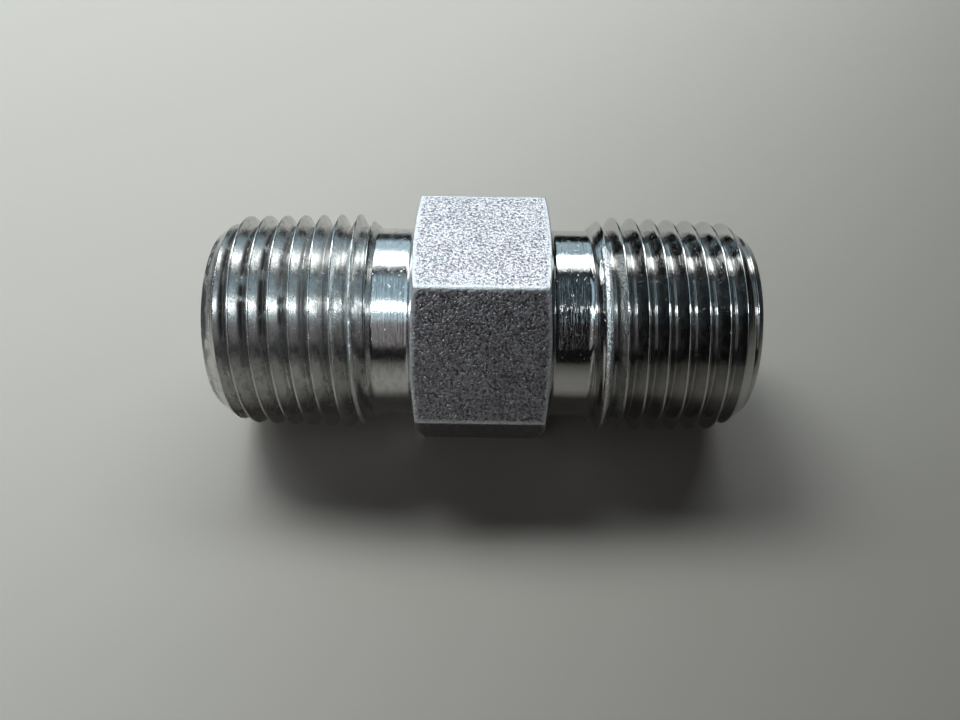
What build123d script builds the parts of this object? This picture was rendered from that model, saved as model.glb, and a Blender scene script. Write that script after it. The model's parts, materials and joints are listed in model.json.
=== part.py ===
from build123d import *
import os
from math import atan, cos, degrees, pi, radians, tan

# Hex nipple: a short double male pipe fitting with a hexagon in its middle, turned from one hexagon bar.
# Millimetres. The bore's axis is X, the origin is the middle of the fitting, and two hexagon flats face +Z and -Z.
# Every radius below is measured from the X axis, and every station is a distance from the middle plane.

# ---- hexagon ----
HEX_ACROSS_FLATS = 22.0
HEX_WIDTH = 13.0
HEX_EDGE_RADIUS = 0.3
HEX_FACE_DIAMETER = 20.2  # where the turned chamfer meets the end face
HEX_CHAMFER_ANGLE = 12.0  # from the end face, in degrees
HEX_CHAMFER_CROWN = 0.01  # how far the turned chamfer stands out from a straight cone

# ---- ends ----
OVERALL_LENGTH = 51.0
NECK_DIAMETER = 18.6
NECK_END_STATION = 10.0  # where the neck turns up into the thread's shoulder
NECK_CORNER_RADIUS = 0.4
SHOULDER_END_STATION = 11.9
SHOULDER_BULGE = 0.14  # how far the rounded shoulder stands out from a straight one
NOSE_DIAMETER = 17.3
NOSE_CHAMFER_ANGLE = 37.0  # from the axis, in degrees

# ---- pipe thread, 1/2-14, tapered 1 in 16 on the diameter, 60 degrees ----
THREADS_PER_INCH = 14
PITCH = 25.4 / THREADS_PER_INCH
TAPER = 1 / 16
FLANK_ANGLE = 30.0  # each flank, from the plane across the axis
PITCH_DIAMETER_AT_NOSE = 19.15
CREST_TRUNCATION = 0.06 * PITCH
ROOT_TRUNCATION = 0.033 * PITCH
THREAD_TURNS = 10
# distance from each end face in to the nearest crest, along the top of the fitting
FIRST_CREST_LEFT = 0.87
FIRST_CREST_RIGHT = 1.75
CUTTER_OVERRUN = 0.08  # how far the groove's section stands above the crests

# ---- bore ----
BORE_DIAMETER = 13.0
BORE_CHAMFER = 0.5

# ---- values that follow from the ones above ----
half_length = OVERALL_LENGTH / 2
half_hex = HEX_WIDTH / 2
hex_corner_radius = HEX_ACROSS_FLATS / 2 / cos(radians(30))
neck_radius = NECK_DIAMETER / 2
radius_slope = TAPER / 2
sharp_height = PITCH / 2 / tan(radians(FLANK_ANGLE))
crest_radius_at_nose = PITCH_DIAMETER_AT_NOSE / 2 + sharp_height / 2 - CREST_TRUNCATION
root_radius_at_nose = PITCH_DIAMETER_AT_NOSE / 2 - sharp_height / 2 + ROOT_TRUNCATION


def crest_radius(station):
    """Radius of the thread's crests at a distance from the middle plane."""
    return crest_radius_at_nose + (half_length - station) * radius_slope


def root_radius(station):
    """Radius of the thread's roots at a distance from the middle plane."""
    return root_radius_at_nose + (half_length - station) * radius_slope


# The nose chamfer starts where its cone meets the crests' cone.
nose_slope = tan(radians(NOSE_CHAMFER_ANGLE))
nose_rise = crest_radius_at_nose - NOSE_DIAMETER / 2
nose_start_station = half_length - nose_rise / (nose_slope - radius_slope)

# The hexagon's chamfer is carried out past the corners.
clear_radius = hex_corner_radius + 1
face_radius = HEX_FACE_DIAMETER / 2
chamfer_start_station = half_hex - (clear_radius - face_radius) * tan(radians(HEX_CHAMFER_ANGLE))
chamfer_outer = Vector(chamfer_start_station, clear_radius)
chamfer_inner = Vector(half_hex, face_radius)
chamfer_outward = Vector(clear_radius - face_radius, half_hex - chamfer_start_station).normalized()
chamfer_middle = (chamfer_outer + chamfer_inner) * 0.5 + chamfer_outward * HEX_CHAMFER_CROWN

# The shoulder is an arc from the neck to the first crest line, bulging out from its chord.
shoulder_foot = Vector(NECK_END_STATION, neck_radius)
shoulder_top = Vector(SHOULDER_END_STATION, crest_radius(SHOULDER_END_STATION))
shoulder_chord = shoulder_top - shoulder_foot
shoulder_outward = Vector(-shoulder_chord.Y, shoulder_chord.X).normalized()
shoulder_middle = (shoulder_foot + shoulder_top) * 0.5 + shoulder_outward * SHOULDER_BULGE


def groove_section(width_at_root, height):
    """Points of one thread groove: a flat root and two flanks. X is along the fitting, Y is outward."""
    half_root = width_at_root / 2
    half_top = half_root + height * tan(radians(FLANK_ANGLE))
    return [(-half_root, 0), (half_root, 0), (half_top, height), (-half_top, height)]


root_flat = 2 * ROOT_TRUNCATION * tan(radians(FLANK_ANGLE))
groove_depth = crest_radius_at_nose - root_radius_at_nose
section = groove_section(root_flat, groove_depth + CUTTER_OVERRUN)

# Both grooves are cut along +X, one turn after another, and every turn starts at the top of the fitting.
# The left groove starts off the nose and ends over the neck, and the right one starts over the neck.
cone_angle = degrees(atan(radius_slope))
slant_pitch = PITCH / cos(radians(cone_angle))
radius_per_radian = PITCH * radius_slope / (2 * pi)
left_start = -half_length + FIRST_CREST_LEFT - 1.5 * PITCH
right_start = half_length - FIRST_CREST_RIGHT + (1.5 - THREAD_TURNS) * PITCH
widening_turns = [(left_start + turn * PITCH, 1) for turn in range(THREAD_TURNS)]
narrowing_turns = [(right_start + turn * PITCH, -1) for turn in range(THREAD_TURNS)]

with BuildPart() as nipple_body:
    # the hexagon bar, as long as the fitting
    with BuildSketch(Plane.YZ):
        RegularPolygon(radius=HEX_ACROSS_FLATS / 2, side_count=6, major_radius=False)
        fillet(vertices(), HEX_EDGE_RADIUS)
    extrude(amount=half_length, both=True)

    # the outline that turning leaves: hexagon chamfers, necks, shoulders, tapers and noses
    with BuildSketch(Plane.XY):
        with BuildLine():
            Polyline((0, 0), (0, clear_radius), chamfer_outer)
            ThreePointArc(chamfer_outer, chamfer_middle, chamfer_inner)
            Line(chamfer_inner, (half_hex, neck_radius + NECK_CORNER_RADIUS))
            RadiusArc(
                (half_hex, neck_radius + NECK_CORNER_RADIUS),
                (half_hex + NECK_CORNER_RADIUS, neck_radius),
                -NECK_CORNER_RADIUS,
            )
            Line((half_hex + NECK_CORNER_RADIUS, neck_radius), shoulder_foot)
            ThreePointArc(shoulder_foot, shoulder_middle, shoulder_top)
            Polyline(
                shoulder_top,
                (nose_start_station, crest_radius(nose_start_station)),
                (half_length, NOSE_DIAMETER / 2),
                (half_length, 0),
                (0, 0),
            )
        make_face()
        mirror(about=Plane.YZ)
    revolve(axis=Axis.X, mode=Mode.INTERSECT)

    # the through bore, chamfered at both ends
    with BuildSketch(Plane.YZ):
        Circle(BORE_DIAMETER / 2)
    extrude(amount=half_length, both=True, mode=Mode.SUBTRACT)
    end_faces = faces().filter_by(Axis.X).sort_by(Axis.X)
    bore_rims = end_faces[0].inner_wires() + end_faces[-1].inner_wires()
    chamfer(bore_rims.edges(), BORE_CHAMFER)

    # The two right-hand thread grooves. Each turn's section stands square to its own helix, so that the end
    # of one turn and the start of the next are the same face.
    for start, widening in widening_turns + narrowing_turns:
        start_radius = root_radius(abs(start))
        radius_rate = widening * radius_per_radian
        along_helix = Vector(PITCH / (2 * pi), -start_radius, radius_rate)
        bend = Vector(0, -2 * radius_rate, -start_radius)
        section_plane = Plane(
            origin=(start, 0, start_radius),
            x_dir=along_helix.cross(bend),
            z_dir=along_helix,
        )
        with BuildLine():
            Helix(
                pitch=slant_pitch,
                height=PITCH,
                radius=start_radius,
                center=(start, 0, 0),
                direction=(1, 0, 0),
                cone_angle=widening * cone_angle,
            )
        with BuildSketch(section_plane):
            with BuildLine():
                Polyline(*section, close=True)
            make_face()
        sweep(is_frenet=True, mode=Mode.SUBTRACT)

nipple_body.part.label = "nipple_body"

os.makedirs("parts", exist_ok=True)
export_step(nipple_body.part, "parts/nipple_body.step")
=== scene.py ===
import bpy
import json
import math
import numpy as np
from mathutils import Matrix, Vector, noise


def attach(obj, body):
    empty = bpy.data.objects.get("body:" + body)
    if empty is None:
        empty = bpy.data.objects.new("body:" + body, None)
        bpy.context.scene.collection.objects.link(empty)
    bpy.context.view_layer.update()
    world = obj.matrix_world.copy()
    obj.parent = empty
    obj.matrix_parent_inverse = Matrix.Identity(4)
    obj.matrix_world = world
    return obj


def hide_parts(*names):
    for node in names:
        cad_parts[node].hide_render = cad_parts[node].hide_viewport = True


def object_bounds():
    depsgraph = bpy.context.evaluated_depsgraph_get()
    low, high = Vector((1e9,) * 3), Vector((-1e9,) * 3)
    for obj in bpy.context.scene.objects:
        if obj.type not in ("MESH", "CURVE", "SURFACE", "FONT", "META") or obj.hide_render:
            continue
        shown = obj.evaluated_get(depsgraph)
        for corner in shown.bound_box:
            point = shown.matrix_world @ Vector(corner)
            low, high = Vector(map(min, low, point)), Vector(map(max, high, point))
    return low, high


# The looks of a hex nipple: one piece of plated steel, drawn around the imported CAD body.
# The fitting's axis is X. Shapes are worked out in millimetres and scaled to metres once, in make_piece.
# An angle round the fitting is measured from the top, turning towards the camera's side.

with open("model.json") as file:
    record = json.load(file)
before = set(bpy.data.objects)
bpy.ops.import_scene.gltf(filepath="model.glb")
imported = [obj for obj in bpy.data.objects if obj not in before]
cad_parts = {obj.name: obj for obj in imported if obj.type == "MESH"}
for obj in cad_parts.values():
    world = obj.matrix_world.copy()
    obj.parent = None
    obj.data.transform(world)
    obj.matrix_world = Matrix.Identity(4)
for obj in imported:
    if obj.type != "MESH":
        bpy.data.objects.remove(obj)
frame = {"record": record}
cad_low, cad_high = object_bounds()
bore_mount = next(m for m in frame["record"]["mounts"] if m["name"] == "through_bore")

MM = 0.001
FULL_TURN = 2 * math.pi

# ---- sizes that the frame gives, in millimetres ----
HALF_LENGTH = (cad_high.x - cad_low.x) / MM / 2
HALF_FLATS = (cad_high.z - cad_low.z) / MM / 2
BORE_RADIUS = bore_mount["dims"]["r_mm"]

# ---- sizes of the turned details, in millimetres ----
HALF_HEX = 6.5
HEX_EDGE_RADIUS = 0.3
HEX_FACE_RADIUS = 10.1
HEX_CHAMFER_SLOPE = math.tan(math.radians(12))
NECK_RADIUS = 9.3
NECK_CORNER = 0.4
NECK_END = 10.0
SHOULDER_END = 11.9
SHOULDER_BULGE = 0.14
NOSE_RADIUS = 8.65
NOSE_SLOPE = math.tan(math.radians(37))
BORE_CHAMFER = 0.5
SOFT_EDGE = 0.05
NECK_MIDDLE = 8.3
END_FACE_MIDDLE = 8.1
BORE_STATIONS = (22.0, 17.0, 12.0, 6.0)

# ---- how the edges are rounded, in millimetres ----
# from a hexagon flat over its edge: distance past the edge, and drop below the flat
HEX_ROUNDING = ((-0.5, 0.0), (-0.13, 0.0), (-0.06, 0.008), (-0.015, 0.035), (0.012, 0.08))
HEX_CHAMFER_TOP = 0.12  # how far below the flat the plain chamfer starts
HEX_FACE_ROUNDING = 0.1
# from the nose chamfer onto the end face: distance past the end face, and height above the nose's edge
NOSE_ROUNDING = ((-0.025, 0.012), (-0.004, -0.02), (0.0, -0.07))
# from the end face into the bore: distance in from the end face, and height above the bore
BORE_ROUNDING = ((0.015, BORE_CHAMFER - 0.01), (BORE_CHAMFER - 0.05, 0.03), (BORE_CHAMFER + 0.04, 0.0))

# ---- worn rims of the hexagon's flats ----
RIM_WIDTH = 0.45
RIM_FADE = 0.3
LONG_RIM_ANGLE = 0.022  # either side of a corner, in radians
LONG_RIM_FADE = 0.01

# ---- the two right-hand pipe threads, 14 to the inch, tapered 1 in 16 on the diameter ----
PITCH = 25.4 / 14
TAPER = 1 / 32
FLANK = math.tan(math.radians(30))
CREST_AT_NOSE = 10.2517
ROOT_AT_NOSE = 8.849
ROOT_HALF_WIDTH = 0.0346
FIRST_CREST = {-1: 0.87, 1: 1.75}
NOSE_START = HALF_LENGTH - (CREST_AT_NOSE - NOSE_RADIUS) / (NOSE_SLOPE - TAPER)
THREAD_START = NECK_END - 0.1
BURR_CREST = 7  # the last full crest next to each neck, counted from the nose
BURR_REACH = {-1: 0.50, 1: 0.70}  # how far the burr spreads from that crest towards the nose
BURR_BEHIND = 0.22  # how far it spreads towards the neck
BURR_RISE = 0.12
BURR_FALL = 0.15
BURR_END_ANGLE = math.radians(235)
BURR_END_FADE = 0.5
BURR_LIFT = 0.02
BURR_HEIGHT = 0.10
BURR_LUMPS = 5.5  # coarse lumps per millimetre
BURR_TEETH = 13.0  # fine ones
BURR_TEETH_SHARE = 0.6

# ---- zones of the surface, which are also the slots of their materials ----
THREAD, HEXAGON, BORE = 0, 1, 2
FACE_MARGIN = 0.3
FLAT_EDGE_MARGIN = 0.03

# ---- how finely the body is drawn ----
COLUMNS = 216
CORNER_COLUMNS = np.radians([-0.7, -0.5, -0.25, 0.25, 0.5, 0.7])
FLANK_SAMPLES = np.array([0.045, 0.12, 0.3, 0.5, 0.68, 0.79, 0.83, 0.865])
TURN_SAMPLES = np.concatenate([[0], FLANK_SAMPLES, -FLANK_SAMPLES, [PITCH / 2]])
EDGE_SAMPLES = np.array([-0.03, 0.0, 0.03])
EDGE_SEARCH_STEPS = 3200
MOST_GROOVES = 14  # more than one end has
CLEAR_OF_EDGE = 0.055  # between an edge's own points and the regular ones
CLEAR_OF_NECK = 0.05
CLEAR_OF_NOSE = 0.1
LAST_SAMPLE = 0.06  # from the end face to the thread's last point
SHORTEST_STEP = 0.004


def crest_radius(station):
    return CREST_AT_NOSE + (HALF_LENGTH - station) * TAPER


def root_radius(station):
    return ROOT_AT_NOSE + (HALF_LENGTH - station) * TAPER


def first_crest(side):
    """Where the crest nearest the nose crosses the top of the fitting."""
    return side * (HALF_LENGTH - FIRST_CREST[side])


def soft_min(a, b, width):
    """The smaller of two heights, with the edge between them rounded off."""
    blend = np.maximum(width - np.abs(a - b), 0) / width
    return np.minimum(a, b) - blend * blend * width / 4


def blank_radius(station):
    """What turning leaves before the thread is cut: neck, shoulder, taper and nose chamfer."""
    u = np.clip((station - NECK_END) / (SHOULDER_END - NECK_END), 0, 1)
    rise = crest_radius(SHOULDER_END) - NECK_RADIUS
    shoulder = NECK_RADIUS + u * rise + 4 * SHOULDER_BULGE * u * (1 - u)
    body = np.where(station < SHOULDER_END, shoulder, crest_radius(station))
    nose = crest_radius(NOSE_START) - (station - NOSE_START) * NOSE_SLOPE
    return soft_min(body, nose, SOFT_EDGE)


def groove_radius(side, x, angle):
    """The radius of the thread groove's surface over a position along the fitting."""
    phase = (x - first_crest(side)) / PITCH - angle / FULL_TURN - 0.5
    away = (phase - np.round(phase)) * PITCH
    root = root_radius(np.abs(x - away))
    return root + (np.hypot(away, ROOT_HALF_WIDTH) - ROOT_HALF_WIDTH) / FLANK


def edge_positions(side, angle):
    """Where the groove meets the blank's surface on the nose and on the shoulder."""
    stations = np.linspace(THREAD_START, HALF_LENGTH, EDGE_SEARCH_STEPS)
    gap = blank_radius(stations) - groove_radius(side, side * stations, angle)
    turn = np.nonzero(gap[:-1] * gap[1:] < 0)[0]
    share = gap[turn] / (gap[turn] - gap[turn + 1])
    found = stations[turn] + share * (stations[1] - stations[0])
    beside_crests = (found > NOSE_START - SOFT_EDGE) | (found < SHOULDER_END + 2 * SOFT_EDGE)
    return side * found[beside_crests]


def thread_positions(side, angle):
    """The sampled positions of one column of a thread, in order from the lower end of X to the higher."""
    numbers = np.arange(-MOST_GROOVES, MOST_GROOVES + 1)
    grooves = first_crest(side) + PITCH * (numbers + 0.5 + angle / FULL_TURN)
    regular = (grooves[:, None] + TURN_SAMPLES).ravel()
    edges = (edge_positions(side, angle)[:, None] + EDGE_SAMPLES).ravel()
    taken = np.concatenate([edges, side * np.array([NOSE_START, SHOULDER_END])])
    clear = np.abs(regular[:, None] - taken).min(axis=1) > CLEAR_OF_EDGE
    inner = np.concatenate([regular[clear], taken])
    station = side * inner
    inner = inner[(station > THREAD_START + CLEAR_OF_NECK) & (station < HALF_LENGTH - CLEAR_OF_NOSE)]
    ends = side * np.array([THREAD_START, HALF_LENGTH - LAST_SAMPLE])
    every = np.unique(np.concatenate([inner, ends]))
    keep = np.concatenate([[True], np.diff(every) > SHORTEST_STEP])
    keep[-1] = True
    return every[keep]


def burr_strength(side, x, angle):
    """How strongly the rough burr along the last full crest shows at a place on the thread, from 0 to 1."""
    crest = first_crest(side) - side * BURR_CREST * PITCH + PITCH * angle / FULL_TURN
    ahead = side * (x - crest)
    rise = np.clip((ahead + BURR_BEHIND) / BURR_RISE, 0, 1)
    fall = np.clip((BURR_REACH[side] - ahead) / BURR_FALL, 0, 1)
    around = np.clip((BURR_END_ANGLE - angle) / BURR_END_FADE, 0, 1)
    return rise * fall * around


def roughened(side, x, radius, angle):
    """Lifts and dents the burr, which is torn metal a tenth of a millimetre high."""
    strength = burr_strength(side, x, angle)
    for i in np.nonzero(strength > 0)[0]:
        place = Vector((x[i], radius[i] * math.cos(angle), radius[i] * math.sin(angle)))
        lump = noise.noise(place * BURR_LUMPS) + BURR_TEETH_SHARE * noise.noise(place * BURR_TEETH)
        radius[i] += strength[i] * (BURR_LIFT + BURR_HEIGHT * lump)
    return radius, strength


def hex_radius(angle):
    """The hexagon's radius at an angle, with its long edges rounded."""
    sixth = FULL_TURN / 6
    off_corner = abs(angle % sixth - sixth / 2)
    centre = (HALF_FLATS - HEX_EDGE_RADIUS) / math.cos(sixth / 2)
    flat = HALF_FLATS / math.cos(sixth / 2 - off_corner)
    reach = HEX_EDGE_RADIUS**2 - (centre * math.sin(off_corner)) ** 2
    if reach <= 0:
        return flat
    return min(flat, centre * math.cos(off_corner) + math.sqrt(reach))


def chamfer_station(radius):
    """How far from the middle the hexagon's turned chamfer lies at a radius."""
    return HALF_HEX - (radius - HEX_FACE_RADIUS) * HEX_CHAMFER_SLOPE


def half_hex_outline(angle):
    """One side of the hexagon and its neck, from the middle of the flat down to where the thread starts."""
    flat = hex_radius(angle)
    edge = chamfer_station(flat)
    top = flat - min(HEX_CHAMFER_TOP, (flat - HEX_FACE_RADIUS) / 3)
    foot = HEX_FACE_RADIUS + HEX_FACE_ROUNDING
    points = [(0.0, flat), (edge / 2, flat)]
    points += [(edge + past, flat - drop) for past, drop in HEX_ROUNDING]
    points += [(chamfer_station(radius), radius) for radius in (top, (top + foot) / 2)]
    points += [(HALF_HEX - 0.035, foot), (HALF_HEX, HEX_FACE_RADIUS - SOFT_EDGE)]
    points += [(HALF_HEX, NECK_RADIUS + NECK_CORNER + 0.06)]
    for turn in np.radians([0, 18, 36, 54, 72, 90]):
        x = HALF_HEX + NECK_CORNER * (1 - math.cos(turn))
        points.append((x, NECK_RADIUS + NECK_CORNER * (1 - math.sin(turn))))
    stations = (HALF_HEX + NECK_CORNER + 0.1, NECK_MIDDLE, THREAD_START - 0.2)
    return points + [(x, NECK_RADIUS) for x in stations]


def half_bore_outline():
    """One end of the fitting from the nose's edge, over the end face, into the middle of the bore."""
    points = [(HALF_LENGTH + past, NOSE_RADIUS + above) for past, above in NOSE_ROUNDING]
    points += [(HALF_LENGTH, END_FACE_MIDDLE), (HALF_LENGTH, BORE_RADIUS + BORE_CHAMFER + SOFT_EDGE)]
    points += [(HALF_LENGTH - into, BORE_RADIUS + above) for into, above in BORE_ROUNDING]
    return points + [(x, BORE_RADIUS) for x in BORE_STATIONS]


def mirrored(points):
    return [(-x, r) for x, r in points]


def column(angle):
    """The closed outline at one angle, as (position, radius, zone, burr) rows, and each stretch's length."""
    hexagon = half_hex_outline(angle)
    bore = half_bore_outline()
    rows, lengths = [], []

    def add(points, zone, burr=None):
        lengths.append(len(points))
        for i, (x, r) in enumerate(points):
            rows.append((x, r, zone, 0.0 if burr is None else burr[i]))

    def add_thread(side):
        x = thread_positions(side, angle)
        radius = soft_min(blank_radius(np.abs(x)), groove_radius(side, x, angle), SOFT_EDGE)
        radius, burr = roughened(side, x, radius, angle)
        add(list(zip(x, radius)), THREAD, burr)

    add_thread(-1)
    add(mirrored(hexagon[:0:-1]) + hexagon, HEXAGON)
    add_thread(1)
    add(bore + mirrored(bore[::-1]), BORE)
    return rows, lengths


def column_angles():
    """Even angles all round, with extra ones on the hexagon's six rounded edges."""
    even = np.arange(COLUMNS) * FULL_TURN / COLUMNS
    corners = np.radians(30 + 60 * np.arange(6))
    return np.sort(np.concatenate([even, (corners[:, None] + CORNER_COLUMNS).ravel()]))


def zip_faces(a, b, xa, xb):
    """Triangles between two neighbouring columns of a thread, taken in order of position."""
    faces = []
    i = j = 0
    while i < len(a) - 1 or j < len(b) - 1:
        step_a = j == len(b) - 1 or (i < len(a) - 1 and xa[i + 1] <= xb[j + 1])
        if step_a:
            faces.append((a[i], b[j], a[i + 1]))
            i += 1
        else:
            faces.append((a[i], b[j], b[j + 1]))
            j += 1
    return faces


def strip_faces(a, b):
    """Quads between two neighbouring columns that have the same number of points."""
    return [(a[i], b[i], b[i + 1], a[i + 1]) for i in range(len(a) - 1)]


def body_surface():
    """Points, faces and each point's zone and burr for the whole body."""
    angles = column_angles()
    points, zones, burrs, parts = [], [], [], []
    for angle in angles:
        rows, lengths = column(angle)
        start = len(points)
        for x, r, zone, burr in rows:
            points.append((x, -r * math.sin(angle), r * math.cos(angle)))
            zones.append(zone)
            burrs.append(burr)
        cuts = np.cumsum([start, *lengths])
        parts.append([list(range(cuts[k], cuts[k + 1])) for k in range(4)])
    faces = []
    for k, near in enumerate(parts):
        far = parts[(k + 1) % len(parts)]
        for thread in (0, 2):
            xa = [points[v][0] for v in near[thread]]
            xb = [points[v][0] for v in far[thread]]
            faces += zip_faces(near[thread], far[thread], xa, xb)
        for plain in (1, 3):
            before, after = (plain - 1) % 4, (plain + 1) % 4
            a = [near[before][-1], *near[plain], near[after][0]]
            b = [far[before][-1], *far[plain], far[after][0]]
            faces += strip_faces(a, b)
    return points, faces, zones, burrs


def groove_depth(station, radius):
    """How deep a place on the thread lies, from 0 at the crests to 1 at the roots."""
    above = (radius - root_radius(station)) / (CREST_AT_NOSE - ROOT_AT_NOSE)
    return np.where(station > NECK_END, np.clip(1 - above, 0, 1), 0)


def rim_wear(station, radius, angle):
    """How worn the hexagon is at a place, from 0 on its flats to 1 along the flats' edges."""
    sixth = FULL_TURN / 6
    off_corner = np.abs(angle % sixth - sixth / 2)
    short_edge = np.clip((station - chamfer_station(radius) + RIM_WIDTH) / RIM_FADE, 0, 1)
    long_edge = np.clip((LONG_RIM_ANGLE - off_corner) / LONG_RIM_FADE, 0, 1)
    return np.maximum(short_edge, long_edge)


def store(mesh, name, values):
    """Keeps one value for each point of the mesh, for the materials to read."""
    attribute = mesh.attributes.new(name, "FLOAT", "POINT")
    attribute.data.foreach_set("value", values.astype(np.float32))


def make_piece():
    """The body as one Blender mesh, in metres, with its burr, worn rims and thread depth stored."""
    points, faces, zones, burrs = body_surface()
    mesh = bpy.data.meshes.new("nipple_surface")
    mesh.from_pydata([(x * MM, y * MM, z * MM) for x, y, z in points], [], faces)
    mesh.update()
    zones = np.array(zones)
    x, y, z = np.array(points).T
    station, radius, angle = np.abs(x), np.hypot(y, z), np.arctan2(-y, z)
    store(mesh, "burr", np.array(burrs))
    store(mesh, "rim", np.where(zones == HEXAGON, rim_wear(station, radius, angle), 0))
    store(mesh, "groove", np.where(zones == THREAD, groove_depth(station, radius), 0))
    piece = bpy.data.objects.new("nipple", mesh)
    bpy.context.scene.collection.objects.link(piece)
    return piece


# ---------------------------------------------------------------- materials


class Nodes:
    """Small helper that adds and links shader nodes."""

    def __init__(self, name):
        self.material = bpy.data.materials.new(name)
        self.material.use_nodes = True
        self.tree = self.material.node_tree
        self.shader = self.tree.nodes["Principled BSDF"]

    def add(self, kind, **settings):
        node = self.tree.nodes.new(kind)
        for key, value in settings.items():
            setattr(node, key, value)
        return node

    def link(self, source, target):
        self.tree.links.new(source, target)

    def place(self):
        return self.add("ShaderNodeTexCoord").outputs["Object"]

    def attribute(self, name):
        return self.add("ShaderNodeAttribute", attribute_name=name).outputs["Fac"]

    def streaks(self, vector, across):
        """A place squeezed across the X axis, so that noise draws marks that run round the fitting."""
        node = self.add("ShaderNodeVectorMath", operation="MULTIPLY")
        self.link(vector, node.inputs[0])
        node.inputs[1].default_value = (1.0, across, across)
        return node.outputs[0]

    def math(self, operation, a, b=None, clamp=False):
        node = self.add("ShaderNodeMath", operation=operation, use_clamp=clamp)
        for socket, value in zip(node.inputs, (a, b)):
            if isinstance(value, (int, float)):
                socket.default_value = value
            elif value is not None:
                self.link(value, socket)
        return node.outputs[0]

    def noise(self, vector, scale, detail=3.0, roughness=0.55):
        """Noise with a scale in features per metre."""
        node = self.add("ShaderNodeTexNoise")
        self.link(vector, node.inputs["Vector"])
        node.inputs["Scale"].default_value = scale
        node.inputs["Detail"].default_value = detail
        node.inputs["Roughness"].default_value = roughness
        return node.outputs["Fac"]

    def ramp(self, value, low, high, to_low=0.0, to_high=1.0):
        """A smooth change from one value to another while the input goes from low to high."""
        node = self.add("ShaderNodeMapRange", clamp=True, interpolation_type="SMOOTHSTEP")
        self.link(value, node.inputs["Value"])
        limits = {"From Min": low, "From Max": high, "To Min": to_low, "To Max": to_high}
        for key, number in limits.items():
            node.inputs[key].default_value = number
        return node.outputs["Result"]

    def mix(self, share, a, b):
        """The first colour, with a share of the second."""
        node = self.add("ShaderNodeMix", data_type="RGBA")
        self.link(share, node.inputs["Factor"])
        for socket, value in ((node.inputs["A"], a), (node.inputs["B"], b)):
            if isinstance(value, tuple):
                socket.default_value = (*value, 1.0)
            else:
                self.link(value, socket)
        return node.outputs["Result"]

    def bump(self, height, depth, under=None):
        node = self.add("ShaderNodeBump")
        self.link(height, node.inputs["Height"])
        node.inputs["Distance"].default_value = depth
        node.inputs["Strength"].default_value = 1.0
        if under is not None:
            self.link(under, node.inputs["Normal"])
        return node.outputs["Normal"]


PLATING = (0.60, 0.595, 0.58)
PLATING_RIGHT = (0.49, 0.48, 0.465)
PLATING_DULL = (0.50, 0.495, 0.485)
PLATING_WORN = (0.82, 0.84, 0.84)
GRAIN_LIGHT = (0.52, 0.505, 0.525)
GRAIN_DARK = (0.065, 0.055, 0.065)
DIRT = (0.035, 0.028, 0.022)

# ---- depths of the surface relief, in metres ----
RING_DEPTH = 0.000022
SCRATCH_DEPTH = 0.000028
PIT_DEPTH = 0.000014
BURR_GRAIN_DEPTH = 0.00014
PEBBLE_DEPTH = 0.00008
SPECK_DEPTH = 0.00004
BORE_RING_DEPTH = 0.000008


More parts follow.
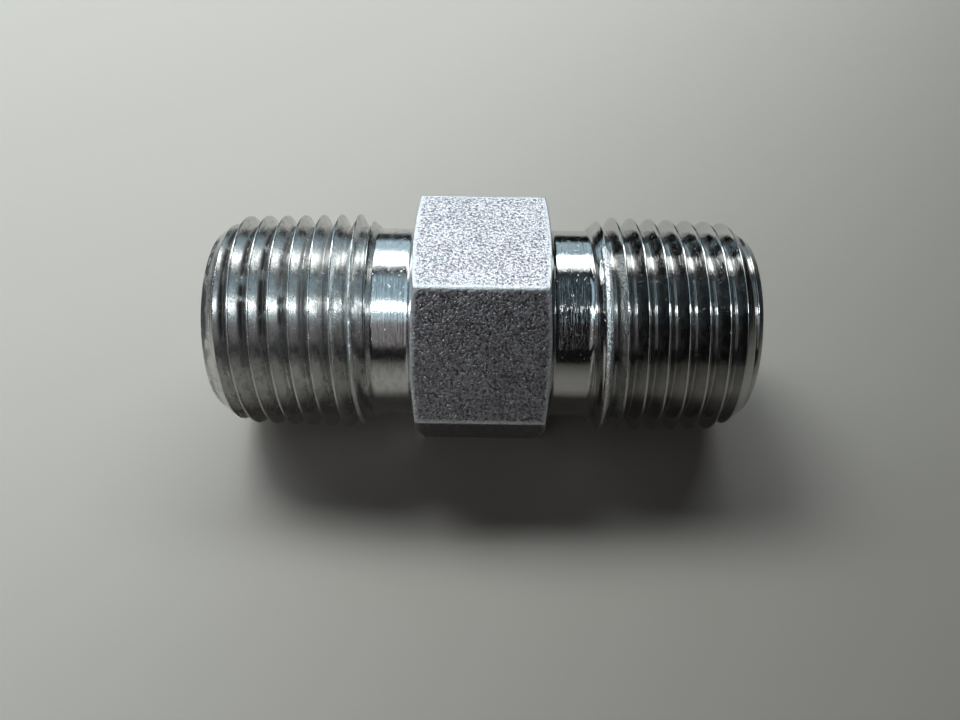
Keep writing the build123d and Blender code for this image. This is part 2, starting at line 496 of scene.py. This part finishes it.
def turned_plating():
    """Bright plating over turned steel: fine rings, scratches, stains, dirty roots and worn burrs."""
    m = Nodes("plated_turned")
    place = m.place()
    along = m.add("ShaderNodeSeparateXYZ")
    m.link(place, along.inputs[0])
    x, height = along.outputs["X"], along.outputs["Z"]
    burr = m.attribute("burr")
    groove = m.attribute("groove")

    rings = m.noise(m.streaks(place, 0.02), 6500.0, detail=4.0)
    fine = m.noise(place, 9000.0, detail=2.0)
    stains = m.noise(m.streaks(place, 0.45), 2200.0, detail=4.0, roughness=0.6)
    scratches = m.noise(m.streaks(place, 0.16), 3600.0, detail=4.0, roughness=0.65)
    nicks = m.noise(place, 2600.0, detail=2.0)
    patches = m.noise(m.streaks(place, 0.35), 1600.0, detail=4.0)

    # grey stains over the plating, and dirt in the roots, thickest on top of the left thread
    clean = m.mix(m.ramp(x, -0.012, 0.008), PLATING, PLATING_RIGHT)
    colour = m.mix(m.ramp(stains, 0.42, 0.66), clean, PLATING_DULL)
    left_top = m.math("MULTIPLY", m.ramp(x, -0.0205, -0.0125, 1.0, 0.0), m.ramp(height, 0.002, 0.007))
    dirt_amount = m.math("ADD", m.math("MULTIPLY", left_top, 0.86), 0.12)
    deep = m.math("MULTIPLY", m.ramp(groove, 0.62, 0.92), m.ramp(patches, 0.36, 0.52))
    dirt = m.math("MULTIPLY", deep, dirt_amount)
    colour = m.mix(dirt, colour, DIRT)
    colour = m.mix(m.math("MULTIPLY", burr, m.ramp(fine, 0.35, 0.55)), colour, PLATING_WORN)
    m.link(colour, m.shader.inputs["Base Color"])
    m.link(m.math("SUBTRACT", 1.0, m.math("MULTIPLY", dirt, 0.8)), m.shader.inputs["Metallic"])

    # duller to the left, and wherever there is a stain, dirt or a burr
    rough = m.ramp(x, -0.022, 0.012, 0.20, 0.09)
    rough = m.math("ADD", rough, m.ramp(stains, 0.42, 0.70, 0.0, 0.10))
    rough = m.math("ADD", rough, m.math("MULTIPLY", dirt, 0.45))
    rough = m.math("ADD", rough, m.math("MULTIPLY", burr, 0.12), clamp=True)
    m.link(rough, m.shader.inputs["Roughness"])

    grain = m.math("MULTIPLY", m.noise(place, 5200.0, detail=3.0), burr)
    pits = m.ramp(nicks, 0.66, 0.74, 0.0, -1.0)
    normal = m.bump(m.math("MULTIPLY", rings, m.ramp(x, -0.004, 0.004, 1.0, 0.45)), RING_DEPTH)
    normal = m.bump(scratches, SCRATCH_DEPTH, under=normal)
    normal = m.bump(pits, PIT_DEPTH, under=normal)
    normal = m.bump(grain, BURR_GRAIN_DEPTH, under=normal)
    m.link(normal, m.shader.inputs["Normal"])
    m.shader.inputs["Anisotropic"].default_value = 0.4
    m.shader.inputs["Anisotropic Rotation"].default_value = 0.25
    tangent = m.add("ShaderNodeTangent", direction_type="RADIAL", axis="X")
    m.link(tangent.outputs["Tangent"], m.shader.inputs["Tangent"])
    return m.material


def blasted_plating():
    """The hexagon's flats: the same plating over a fine pebbled surface with dark specks."""
    m = Nodes("plated_blasted")
    place = m.place()
    pebbles = m.noise(place, 4200.0, detail=2.0, roughness=0.5)
    fine = m.noise(place, 9500.0, detail=2.0)
    patches = m.noise(place, 500.0, detail=3.0)
    specks = m.math("MULTIPLY", m.ramp(fine, 0.48, 0.62), m.ramp(patches, 0.30, 0.60, 0.45, 0.9))
    specks = m.math("MAXIMUM", specks, m.ramp(pebbles, 0.36, 0.50, 0.8, 0.0))
    rim = m.attribute("rim")
    colour = m.mix(specks, GRAIN_LIGHT, GRAIN_DARK)
    m.link(m.mix(m.math("MULTIPLY", rim, 0.5), colour, PLATING_WORN), m.shader.inputs["Base Color"])
    rough = m.math("ADD", m.ramp(pebbles, 0.3, 0.7, 0.16, 0.30), m.math("MULTIPLY", rim, 0.18))
    m.link(rough, m.shader.inputs["Roughness"])
    normal = m.bump(pebbles, PEBBLE_DEPTH)
    normal = m.bump(fine, SPECK_DEPTH, under=normal)
    m.link(normal, m.shader.inputs["Normal"])
    m.shader.inputs["Metallic"].default_value = 1.0
    return m.material


def bore_plating():
    """The drilled bore: ringed and duller than the outside."""
    m = Nodes("plated_bore")
    place = m.place()
    rings = m.noise(m.streaks(place, 0.03), 3500.0, detail=4.0)
    patches = m.noise(place, 600.0, detail=3.0)
    m.link(m.mix(m.ramp(patches, 0.3, 0.8), PLATING_DULL, PLATING_RIGHT), m.shader.inputs["Base Color"])
    m.link(m.ramp(patches, 0.3, 0.7, 0.22, 0.40), m.shader.inputs["Roughness"])
    m.link(m.bump(rings, BORE_RING_DEPTH), m.shader.inputs["Normal"])
    m.shader.inputs["Metallic"].default_value = 1.0
    return m.material


def paint(piece):
    """Gives the flats and the bore their own finishes, and the turned finish to every other face."""
    mesh = piece.data
    for material in (turned_plating(), blasted_plating(), bore_plating()):
        mesh.materials.append(material)
    count = len(mesh.polygons)
    centres = np.zeros(count * 3, np.float32)
    mesh.polygons.foreach_get("center", centres)
    centres = centres.reshape(-1, 3) / MM
    radius = np.hypot(centres[:, 1], centres[:, 2])
    station = np.abs(centres[:, 0])
    on_flat = (radius > HALF_FLATS - FACE_MARGIN) & (station < chamfer_station(radius) - FLAT_EDGE_MARGIN)
    in_bore = (radius < BORE_RADIUS + FACE_MARGIN) & (station < HALF_LENGTH - BORE_CHAMFER / 2)
    slots = np.full(count, THREAD, np.int32)
    slots[on_flat] = HEXAGON
    slots[in_bore] = BORE
    mesh.polygons.foreach_set("material_index", slots)
    mesh.polygons.foreach_set("use_smooth", np.ones(count, bool))
    mesh.update()


# ---------------------------------------------------------------- floor, light and camera


FLOOR_NEAR_LIGHT = (0.76, 0.71, 0.645)
# the dark, warm colour of the floor's painted shade
FLOOR_PAINTED_SHADE = (0.28, 0.260, 0.230)
FLOOR_HALF_WIDTH = 1.5
# painted shade: the floor's colour darkens to the right and towards the camera in place of the light falling
# off, at these rates per metre, between two limits
PAINTED_SHADE_TO_RIGHT = 12.5
PAINTED_SHADE_FORWARD = -9.5
PAINTED_SHADE_LIMITS = (-0.9, 1.35)


def floor_material():
    """A plain matt floor with painted shade: its colour darkens towards the front right, away from the
    light.
    """
    m = Nodes("pale_floor_painted_shade")
    spot = m.add("ShaderNodeSeparateXYZ")
    m.link(m.place(), spot.inputs[0])
    # painted shade: the floor's colour goes from its lit colour to the dark one along this ramp
    across = m.math("MULTIPLY", spot.outputs["X"], PAINTED_SHADE_TO_RIGHT)
    away = m.math("MULTIPLY", spot.outputs["Y"], PAINTED_SHADE_FORWARD)
    fall = m.ramp(m.math("ADD", across, away), *PAINTED_SHADE_LIMITS)
    m.link(m.mix(fall, FLOOR_NEAR_LIGHT, FLOOR_PAINTED_SHADE), m.shader.inputs["Base Color"])
    m.shader.inputs["Roughness"].default_value = 0.85
    m.shader.inputs["Specular IOR Level"].default_value = 0.2
    return m.material


def make_floor():
    """A pale floor, its colour darkened by painted shade towards the front right, that the hexagon's lowest
    flat rests on.
    """
    half = FLOOR_HALF_WIDTH
    mesh = bpy.data.meshes.new("floor")
    corners = [(-half, -half), (half, -half), (half, half), (-half, half)]
    mesh.from_pydata([(x, y, cad_low.z) for x, y in corners], [], [(0, 1, 2, 3)])
    mesh.materials.append(floor_material())
    floor = bpy.data.objects.new("floor", mesh)
    bpy.context.scene.collection.objects.link(floor)


COOL_WHITE = (0.90, 0.97, 1.0)
PINK_WHITE = (0.97, 0.93, 0.97)
LIGHT_BLUE = (0.62, 0.86, 1.0)
BLUE = (0.58, 0.84, 1.0)
WORLD_COLOUR = (0.8, 0.85, 0.9, 1.0)
WORLD_STRENGTH = 0.010


def add_light(
    name, elevation, distance, length, width, power, x, colour, on_floor=True, in_metal=True
):
    """A soft rectangular light that points at the X axis.

    Its elevation is in degrees: 0 is level in front, 90 overhead, 180 level behind. Its distance, size
    and position along X are in metres, and its power in watts. It can be kept off the matt floor, or
    out of the metal's reflections.
    """
    lamp = bpy.data.lights.new(name, "AREA")
    lamp.shape = "RECTANGLE"
    lamp.size = length
    lamp.size_y = width
    lamp.energy = power
    lamp.color = colour
    light = bpy.data.objects.new(name, lamp)
    bpy.context.scene.collection.objects.link(light)
    angle = math.radians(elevation)
    towards = Vector((0, -math.cos(angle), math.sin(angle)))
    light.location = towards * distance + Vector((x, 0, 0))
    light.rotation_mode = "QUATERNION"
    light.rotation_quaternion = (-towards).to_track_quat("-Z", "Y")
    light.visible_diffuse = on_floor
    light.visible_glossy = in_metal


def make_lights():
    add_light("key", 118, 0.50, 0.24, 0.18, 1.05, -0.21, COOL_WHITE, in_metal=False)
    add_light("overhead_strip", 127, 0.35, 0.7, 0.11, 1.40, -0.20, COOL_WHITE, on_floor=False)
    add_light("overhead_fill", 122, 0.40, 0.8, 0.10, 1.10, -0.15, COOL_WHITE, in_metal=False)
    add_light("right_strip", 123, 0.34, 0.07, 0.13, 0.06, 0.035, COOL_WHITE, on_floor=False)
    add_light("left_strip", 64, 0.35, 0.44, 0.036, 0.85, -0.255, COOL_WHITE, on_floor=False)
    add_light("left_panel", 75, 0.42, 0.60, 0.44, 0.78, -0.32, BLUE, on_floor=False)
    add_light("left_low_panel", 34, 0.45, 0.60, 0.28, 0.18, -0.32, PINK_WHITE)
    add_light("right_panel", 88, 0.42, 0.40, 0.40, 0.030, 0.22, BLUE, on_floor=False)
    add_light("back_panel", 148, 0.50, 0.6, 0.26, 0.46, -0.2, LIGHT_BLUE)
    world = bpy.data.worlds.new("studio")
    world.use_nodes = True
    background = world.node_tree.nodes["Background"]
    background.inputs["Color"].default_value = WORLD_COLOUR
    background.inputs["Strength"].default_value = WORLD_STRENGTH
    bpy.context.scene.world = world


# the photo's camera: its place, lens and sensor in millimetres, and its angles in radians
CAMERA_PLACE = (0.4055, -56.813, 59.448)
CAMERA_DOWN = 0.8538
CAMERA_TURN = 0.010
CAMERA_ROLL = 0.0066
LENS = 30.45
SENSOR = 36.0


def make_camera():
    camera = bpy.data.cameras.new("camera")
    camera.lens = LENS
    camera.sensor_width = SENSOR
    camera.clip_start = 0.005
    camera.clip_end = 20
    view = bpy.data.objects.new("camera", camera)
    aim = Matrix.Rotation(CAMERA_TURN, 4, "Z") @ Matrix.Rotation(math.pi / 2 - CAMERA_DOWN, 4, "X")
    roll = Matrix.Rotation(CAMERA_ROLL, 4, "Z")
    view.matrix_world = Matrix.Translation(Vector(CAMERA_PLACE) * MM) @ aim @ roll
    bpy.context.scene.collection.objects.link(view)
    bpy.context.scene.camera = view


piece = make_piece()
paint(piece)
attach(piece, "root")
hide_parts("nipple_body")
make_floor()
make_lights()
make_camera()
bpy.context.scene.view_settings.view_transform = "Standard"
